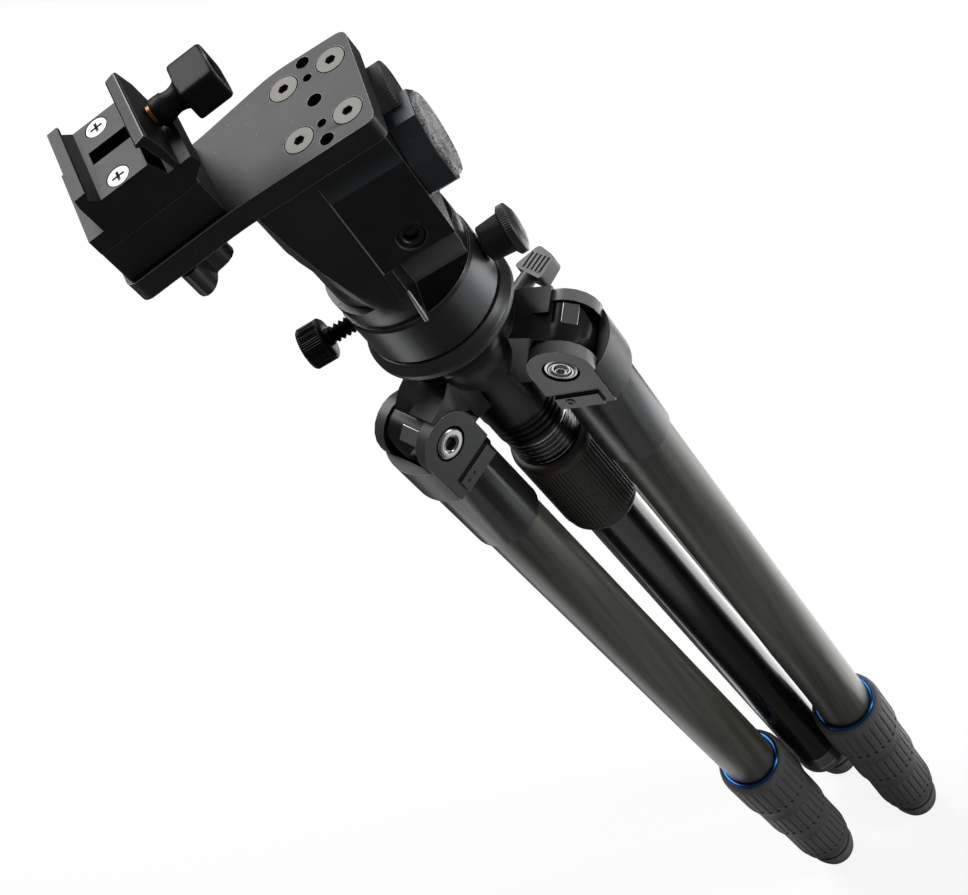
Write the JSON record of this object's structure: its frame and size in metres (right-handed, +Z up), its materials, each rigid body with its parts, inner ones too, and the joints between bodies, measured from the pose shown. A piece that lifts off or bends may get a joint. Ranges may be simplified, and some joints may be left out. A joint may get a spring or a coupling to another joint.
{
  "type": "tripod with a tilt head",
  "caption": "Folded carbon tripod with twist-lock legs and a centre column, carrying a one-sided tilt head whose side arm holds a dovetail quick-release clamp.",
  "frame": {"origin": "on the centre-column axis at the level of the three feet, tripod folded", "axes": "+Z up along the centre column, X along the tilt axis with the side arm reaching towards -X, +Y completes the right-hand frame"},
  "size_m": [0.145, 0.1117, 0.7958],
  "materials": {
    "carbon": "satin clear-coated carbon-fibre tube",
    "rubber": "moulded charcoal rubber",
    "blue_anodised": "bright blue anodised",
    "steel": "bright turned steel",
    "dark_steel": "grey plated steel",
    "zinc": "cream zinc-plated steel",
    "brass": "plain turned brass",
    "gloss_tube": "gloss black tube",
    "grip_plastic": "ribbed dark brown grip",
    "cast_black": "satin black casting",
    "black_anodised": "satin black anodised, machined"
  },
  "bodies": {
    "hub": {"hub_spider": "cast_black"},
    "leg_a": {"leg_a_yoke": "cast_black", "leg_a_pivot_bolt": "steel", "leg_a_section_1": "carbon", "leg_a_blue_ring": "blue_anodised"},
    "leg_a_lower_2": {"leg_a_section_2": "carbon"},
    "leg_a_lower_3": {"leg_a_section_3": "carbon"},
    "leg_a_lower_4": {"leg_a_section_4": "carbon", "leg_a_foot": "rubber"},
    "leg_a_grip_1": {"leg_a_twist_grip_1": "rubber"},
    "leg_a_grip_2": {"leg_a_twist_grip_2": "rubber"},
    "leg_a_grip_3": {"leg_a_twist_grip_3": "rubber"},
    "leg_a_tab": {"leg_a_angle_tab": "cast_black"},
    "leg_b": {"leg_b_yoke": "cast_black", "leg_b_pivot_bolt": "steel", "leg_b_section_1": "carbon", "leg_b_blue_ring": "blue_anodised"},
    "leg_b_lower_2": {"leg_b_section_2": "carbon"},
    "leg_b_lower_3": {"leg_b_section_3": "carbon"},
    "leg_b_lower_4": {"leg_b_section_4": "carbon", "leg_b_foot": "rubber"},
    "leg_b_grip_1": {"leg_b_twist_grip_1": "rubber"},
    "leg_b_grip_2": {"leg_b_twist_grip_2": "rubber"},
    "leg_b_grip_3": {"leg_b_twist_grip_3": "rubber"},
    "leg_b_tab": {"leg_b_angle_tab": "cast_black"},
    "leg_c": {"leg_c_yoke": "cast_black", "leg_c_pivot_bolt": "steel", "leg_c_section_1": "carbon", "leg_c_blue_ring": "blue_anodised"},
    "leg_c_lower_2": {"leg_c_section_2": "carbon"},
    "leg_c_lower_3": {"leg_c_section_3": "carbon"},
    "leg_c_lower_4": {"leg_c_section_4": "carbon", "leg_c_foot": "rubber"},
    "leg_c_grip_1": {"leg_c_twist_grip_1": "rubber"},
    "leg_c_grip_2": {"leg_c_twist_grip_2": "rubber"},
    "leg_c_grip_3": {"leg_c_twist_grip_3": "rubber"},
    "leg_c_tab": {"leg_c_angle_tab": "cast_black"},
    "column": {"centre_column": "gloss_tube", "column_end_cap": "steel", "head_base_disc": "black_anodised"},
    "collar": {"column_collar": "grip_plastic"},
    "hub_knob": {"hub_lock_knob": "cast_black"},
    "pan": {"pan_body": "black_anodised"},
    "drag_knob": {"mushroom_knob": "black_anodised"},
    "pan_lock": {"pan_lock_knob": "black_anodised"},
    "tilt": {"tilt_block": "black_anodised", "arm_plate": "black_anodised", "plate_screw_1": "dark_steel", "plate_screw_2": "dark_steel", "plate_screw_3": "dark_steel", "plate_screw_4": "dark_steel"},
    "side_knob": {"side_knob": "cast_black"},
    "clamp": {"riser_block": "black_anodised", "clamp_body": "black_anodised", "floor_screw_1": "zinc", "floor_screw_2": "zinc"},
    "swivel_lock": {"swivel_lock_knob": "black_anodised"},
    "jaw": {"moving_jaw": "black_anodised", "brass_washer": "brass"},
    "clamp_knob": {"clamp_knob": "black_anodised"}
  },
  "joints": [
    {"name": "leg_a_fold", "type": "hinge", "parent": "hub", "child": "leg_a", "pos_m": [-0.03588, -0.02494, 0.578], "axis": [-0.5707, 0.8211, 0], "range_deg": [0, 78]},
    {"name": "leg_a_tab_pull", "type": "slide", "parent": "leg_a", "child": "leg_a_tab", "axis": [-0.8211, -0.5707, -0.0117], "range_m": [0, 0.0035], "stiffness_N_per_m": 400},
    {"name": "leg_a_extend_1", "type": "slide", "parent": "leg_a", "child": "leg_a_lower_2", "axis": [0.0096, 0.0067, -0.9999], "range_m": [0, 0.335]},
    {"name": "leg_a_extend_2", "type": "slide", "parent": "leg_a_lower_2", "child": "leg_a_lower_3", "axis": [0.0096, 0.0067, -0.9999], "range_m": [0, 0.345]},
    {"name": "leg_a_extend_3", "type": "slide", "parent": "leg_a_lower_3", "child": "leg_a_lower_4", "axis": [0.0096, 0.0067, -0.9999], "range_m": [0, 0.355]},
    {"name": "leg_a_twist_1", "type": "hinge", "parent": "leg_a", "child": "leg_a_grip_1", "pos_m": [-0.03588, -0.02494, 0.578], "axis": [0.0096, 0.0067, -0.9999], "range_deg": [0, 90]},
    {"name": "leg_a_twist_2", "type": "hinge", "parent": "leg_a_lower_2", "child": "leg_a_grip_2", "pos_m": [-0.03588, -0.02494, 0.578], "axis": [0.0096, 0.0067, -0.9999], "range_deg": [0, 90]},
    {"name": "leg_a_twist_3", "type": "hinge", "parent": "leg_a_lower_3", "child": "leg_a_grip_3", "pos_m": [-0.03588, -0.02494, 0.578], "axis": [0.0096, 0.0067, -0.9999], "range_deg": [0, 90]},
    {"name": "leg_b_fold", "type": "hinge", "parent": "hub", "child": "leg_b", "pos_m": [0.03954, -0.01861, 0.578], "axis": [-0.4258, -0.9048, 0], "range_deg": [0, 78]},
    {"name": "leg_b_tab_pull", "type": "slide", "parent": "leg_b", "child": "leg_b_tab", "axis": [0.9048, -0.4258, -0.0117], "range_m": [0, 0.0035], "stiffness_N_per_m": 400},
    {"name": "leg_b_extend_1", "type": "slide", "parent": "leg_b", "child": "leg_b_lower_2", "axis": [-0.0106, 0.005, -0.9999], "range_m": [0, 0.335]},
    {"name": "leg_b_extend_2", "type": "slide", "parent": "leg_b_lower_2", "child": "leg_b_lower_3", "axis": [-0.0106, 0.005, -0.9999], "range_m": [0, 0.345]},
    {"name": "leg_b_extend_3", "type": "slide", "parent": "leg_b_lower_3", "child": "leg_b_lower_4", "axis": [-0.0106, 0.005, -0.9999], "range_m": [0, 0.355]},
    {"name": "leg_b_twist_1", "type": "hinge", "parent": "leg_b", "child": "leg_b_grip_1", "pos_m": [0.03954, -0.01861, 0.578], "axis": [-0.0106, 0.005, -0.9999], "range_deg": [0, 90]},
    {"name": "leg_b_twist_2", "type": "hinge", "parent": "leg_b_lower_2", "child": "leg_b_grip_2", "pos_m": [0.03954, -0.01861, 0.578], "axis": [-0.0106, 0.005, -0.9999], "range_deg": [0, 90]},
    {"name": "leg_b_twist_3", "type": "hinge", "parent": "leg_b_lower_3", "child": "leg_b_grip_3", "pos_m": [0.03954, -0.01861, 0.578], "axis": [-0.0106, 0.005, -0.9999], "range_deg": [0, 90]},
    {"name": "leg_c_fold", "type": "hinge", "parent": "hub", "child": "leg_c", "pos_m": [-0.00366, 0.04355, 0.578], "axis": [0.9965, 0.0837, 0], "range_deg": [0, 78]},
    {"name": "leg_c_tab_pull", "type": "slide", "parent": "leg_c", "child": "leg_c_tab", "axis": [-0.0837, 0.9964, -0.0117], "range_m": [0, 0.0035], "stiffness_N_per_m": 400},
    {"name": "leg_c_extend_1", "type": "slide", "parent": "leg_c", "child": "leg_c_lower_2", "axis": [0.001, -0.0117, -0.9999], "range_m": [0, 0.335]},
    {"name": "leg_c_extend_2", "type": "slide", "parent": "leg_c_lower_2", "child": "leg_c_lower_3", "axis": [0.001, -0.0117, -0.9999], "range_m": [0, 0.345]},
    {"name": "leg_c_extend_3", "type": "slide", "parent": "leg_c_lower_3", "child": "leg_c_lower_4", "axis": [0.001, -0.0117, -0.9999], "range_m": [0, 0.355]},
    {"name": "leg_c_twist_1", "type": "hinge", "parent": "leg_c", "child": "leg_c_grip_1", "pos_m": [-0.00366, 0.04355, 0.578], "axis": [0.001, -0.0117, -0.9999], "range_deg": [0, 90]},
    {"name": "leg_c_twist_2", "type": "hinge", "parent": "leg_c_lower_2", "child": "leg_c_grip_2", "pos_m": [-0.00366, 0.04355, 0.578], "axis": [0.001, -0.0117, -0.9999], "range_deg": [0, 90]},
    {"name": "leg_c_twist_3", "type": "hinge", "parent": "leg_c_lower_3", "child": "leg_c_grip_3", "pos_m": [-0.00366, 0.04355, 0.578], "axis": [0.001, -0.0117, -0.9999], "range_deg": [0, 90]},
    {"name": "column_lift", "type": "slide", "parent": "hub", "child": "column", "axis": [0, 0, 1], "range_m": [0, 0.31]},
    {"name": "collar_twist", "type": "hinge", "parent": "hub", "child": "collar", "pos_m": [0, 0, 0.478], "axis": [0, 0, 1], "range_deg": [0, 90]},
    {"name": "hub_knob_turn", "type": "hinge", "parent": "hub", "child": "hub_knob", "pos_m": [0.04106, 0.02854, 0.5799], "axis": [0.8211, 0.5707, 0], "range_deg": [-180, 180]},
    {"name": "pan_turn", "type": "hinge", "parent": "column", "child": "pan", "pos_m": [0, 0, 0.623], "axis": [0, 0, 1], "continuous": true},
    {"name": "drag_knob_turn", "type": "hinge", "parent": "pan", "child": "drag_knob", "pos_m": [0.042, 0, 0.6349], "axis": [1, 0, 0], "range_deg": [0, 360]},
    {"name": "pan_lock_turn", "type": "hinge", "parent": "pan", "child": "pan_lock", "pos_m": [-0.05, 0, 0.6349], "axis": [-1, 0, 0], "range_deg": [0, 360]},
    {"name": "tilt_turn", "type": "hinge", "parent": "pan", "child": "tilt", "pos_m": [0, 0, 0.7014], "axis": [1, 0, 0], "range_deg": [-85, 85]},
    {"name": "side_knob_turn", "type": "hinge", "parent": "tilt", "child": "side_knob", "pos_m": [0.04, 0, 0.7014], "axis": [1, 0, 0], "range_deg": [-100, 0]},
    {"name": "clamp_swivel", "type": "hinge", "parent": "tilt", "child": "clamp", "pos_m": [-0.05986, -0.0109, 0.7468], "axis": [0, 0, 1], "continuous": true},
    {"name": "swivel_lock_turn", "type": "hinge", "parent": "clamp", "child": "swivel_lock", "pos_m": [-0.05986, -0.0109, 0.7168], "axis": [0, 0, -1], "range_deg": [0, 360]},
    {"name": "jaw_slide", "type": "slide", "parent": "clamp", "child": "jaw", "axis": [0.989, 0.1478, 0], "range_m": [0, 0.006]},
    {"name": "clamp_knob_turn", "type": "hinge", "parent": "jaw", "child": "clamp_knob", "pos_m": [-0.01229, -0.00177, 0.7832], "axis": [0.989, 0.1478, 0], "range_deg": [0, 1080]}
  ],
  "couplings": [
    {"joint": "jaw_slide", "follows": "clamp_knob_turn", "m_per_rad": 0.000318}
  ]
}
